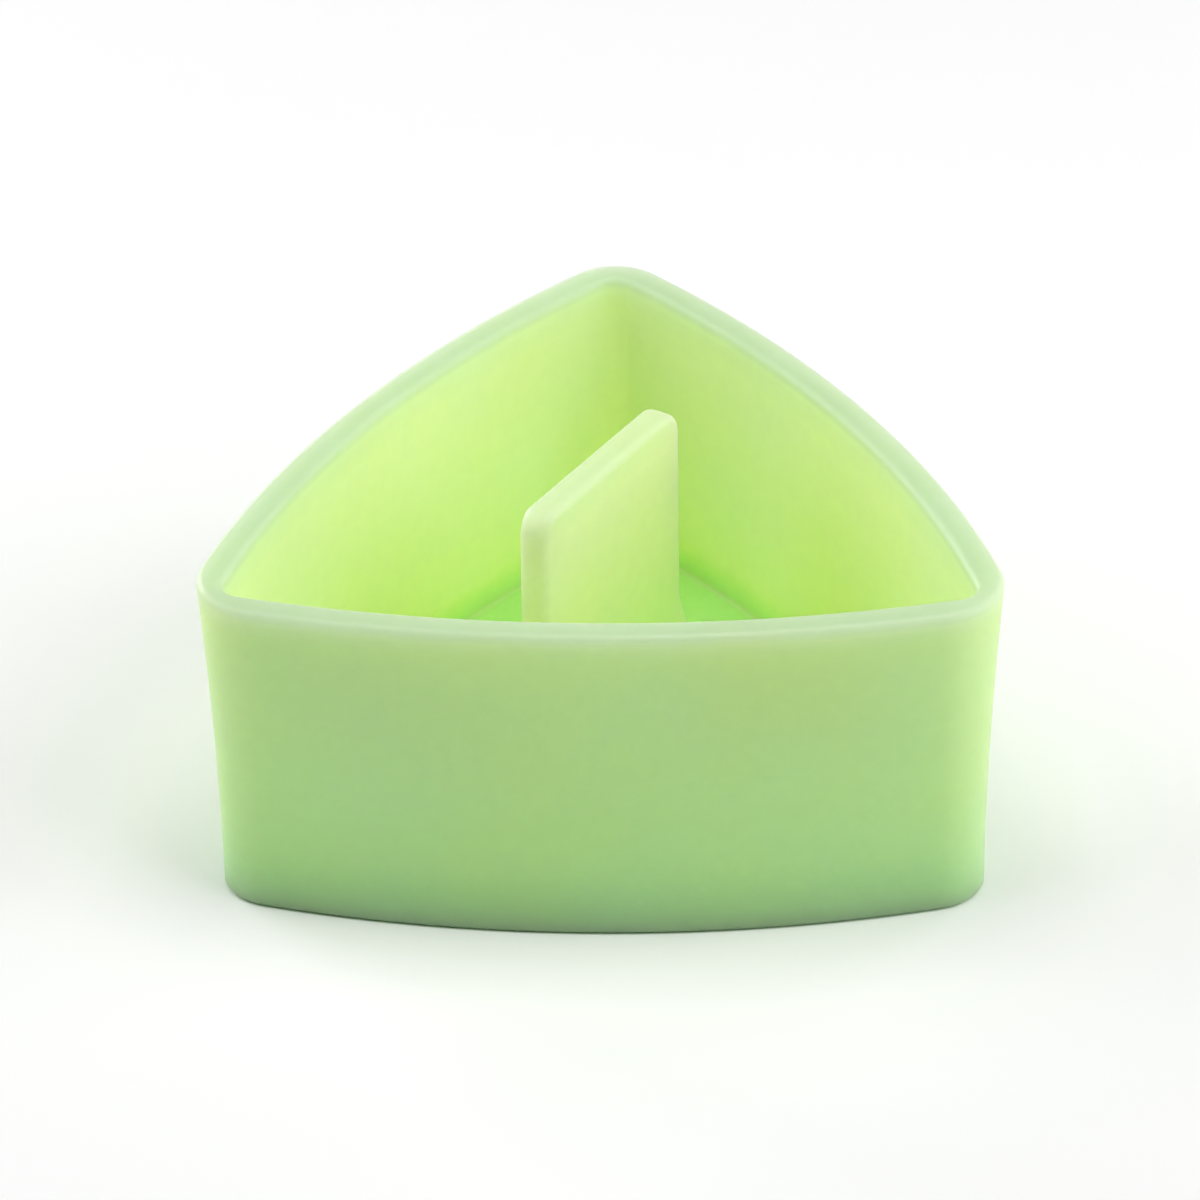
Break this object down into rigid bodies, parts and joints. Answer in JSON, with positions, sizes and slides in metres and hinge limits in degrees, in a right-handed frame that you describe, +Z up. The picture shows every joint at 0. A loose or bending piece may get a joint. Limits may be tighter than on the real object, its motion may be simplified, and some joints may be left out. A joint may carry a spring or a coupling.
{
  "type": "silicone mould",
  "caption": "Three-cornered flexible casting mould: an open tray with bowed, flaring walls and a soft rounded rim, and an upright blade in the middle that casts a slot.",
  "frame": {"origin": "centre of the triangle of the three corner circles, on the underside", "axes": "+Z up out of the open top, -Y out of the front wall, +Y towards the third corner, +X to the right"},
  "size_m": [0.1, 0.0919, 0.047],
  "materials": {
    "tray": "translucent milky pale green silicone, satin, smooth",
    "slot_core": "translucent milky pale green silicone, satin, smooth"
  },
  "bodies": {
    "root": {"tray": "tray", "slot_core": "slot_core"}
  },
  "joints": []
}
